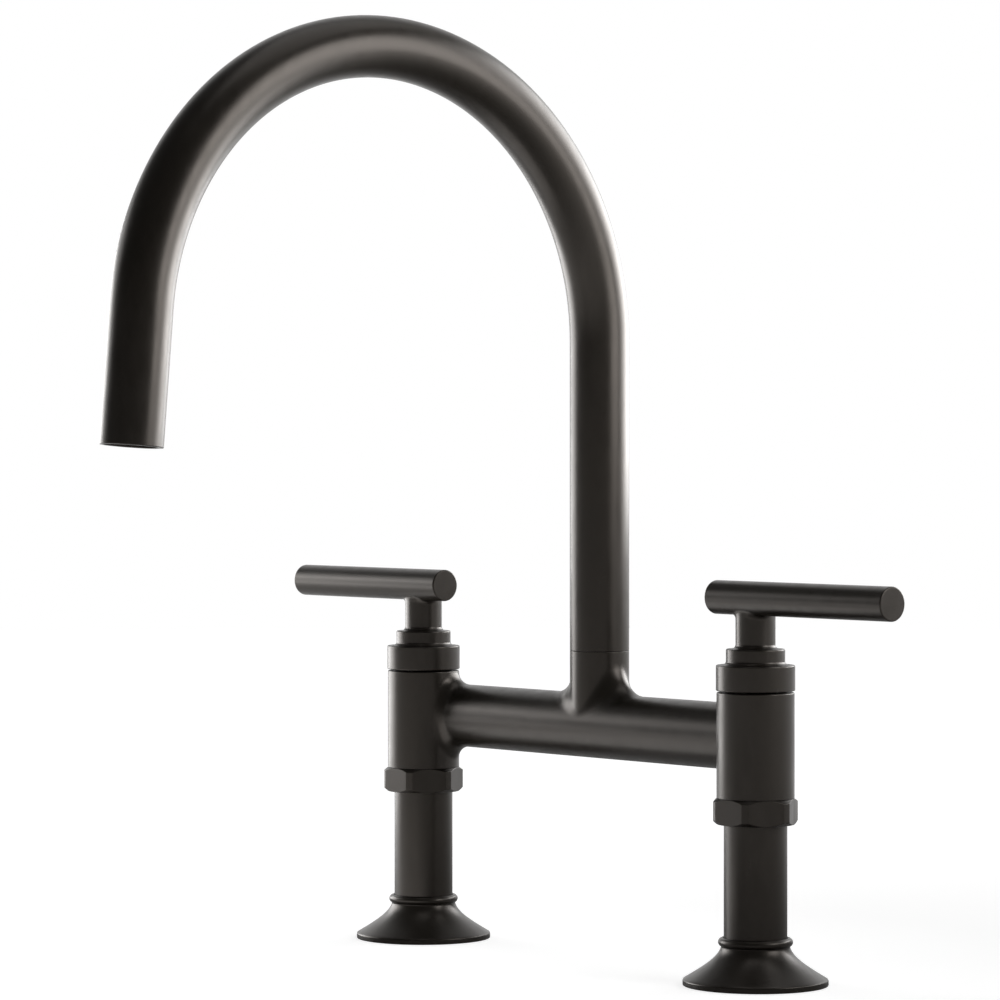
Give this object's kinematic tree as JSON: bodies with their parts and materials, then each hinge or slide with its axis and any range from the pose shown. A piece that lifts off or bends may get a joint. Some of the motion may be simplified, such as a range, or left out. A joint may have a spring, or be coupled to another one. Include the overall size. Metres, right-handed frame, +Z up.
{
  "type": "bridge kitchen faucet",
  "caption": "Deck-mounted kitchen faucet: a bridge tube joins two handle columns on flared escutcheons and carries a swivelling gooseneck spout; straight bar levers turn the valves.",
  "frame": {"origin": "on the worktop's top, midway between the axes of the two columns", "axes": "+X towards the right (cold) column, -Y towards the person at the sink, the way the spout points at rest, +Z up"},
  "size_m": [0.3576, 0.2599, 0.435],
  "materials": {
    "satin_black": "satin",
    "brass": "machined",
    "steel": "brushed",
    "ceramic": "ground",
    "rubber": "matt",
    "white_plastic": "moulded"
  },
  "bodies": {
    "base": {"bridge_casting": "satin_black", "swivel_washer": "white_plastic", "spout_screw": "steel", "left_escutcheon": "satin_black", "left_escutcheon_gasket": "rubber", "left_leg": "satin_black", "left_deck_rubber_washer": "rubber", "left_deck_steel_washer": "steel", "left_deck_nut": "brass", "left_union_nut": "satin_black", "left_union_washer": "rubber", "left_seat_seal": "rubber", "left_fixed_disc": "ceramic", "left_cartridge_sleeve": "brass", "left_bonnet_nut": "brass", "right_escutcheon": "satin_black", "right_escutcheon_gasket": "rubber", "right_leg": "satin_black", "right_deck_rubber_washer": "rubber", "right_deck_steel_washer": "steel", "right_deck_nut": "brass", "right_union_nut": "satin_black", "right_union_washer": "rubber", "right_seat_seal": "rubber", "right_fixed_disc": "ceramic", "right_cartridge_sleeve": "brass", "right_bonnet_nut": "brass"},
    "spout": {"spout_tube": "satin_black", "spout_pivot": "brass", "pivot_ring_lower": "rubber", "pivot_ring_upper": "rubber", "aerator_housing": "satin_black", "aerator_screen": "white_plastic", "aerator_washer": "rubber"},
    "left_handle": {"left_handle_lever": "satin_black", "left_handle_skirt": "satin_black", "left_handle_screw": "steel", "left_stem": "brass", "left_stem_seal_ring": "rubber", "left_moving_disc": "ceramic"},
    "right_handle": {"right_handle_lever": "satin_black", "right_handle_skirt": "satin_black", "right_handle_screw": "steel", "right_stem": "brass", "right_stem_seal_ring": "rubber", "right_moving_disc": "ceramic"}
  },
  "joints": [
    {"name": "left_handle_turn", "type": "hinge", "parent": "base", "child": "left_handle", "pos_m": [-0.1016, 0, 0.129], "axis": [0, 0, 1], "range_deg": [0, 90]},
    {"name": "right_handle_turn", "type": "hinge", "parent": "base", "child": "right_handle", "pos_m": [0.1016, 0, 0.129], "axis": [0, 0, 1], "range_deg": [-90, 0]},
    {"name": "spout_swivel", "type": "hinge", "parent": "base", "child": "spout", "pos_m": [0, 0.0094, 0.1244], "axis": [0, 0, 1], "continuous": true}
  ]
}
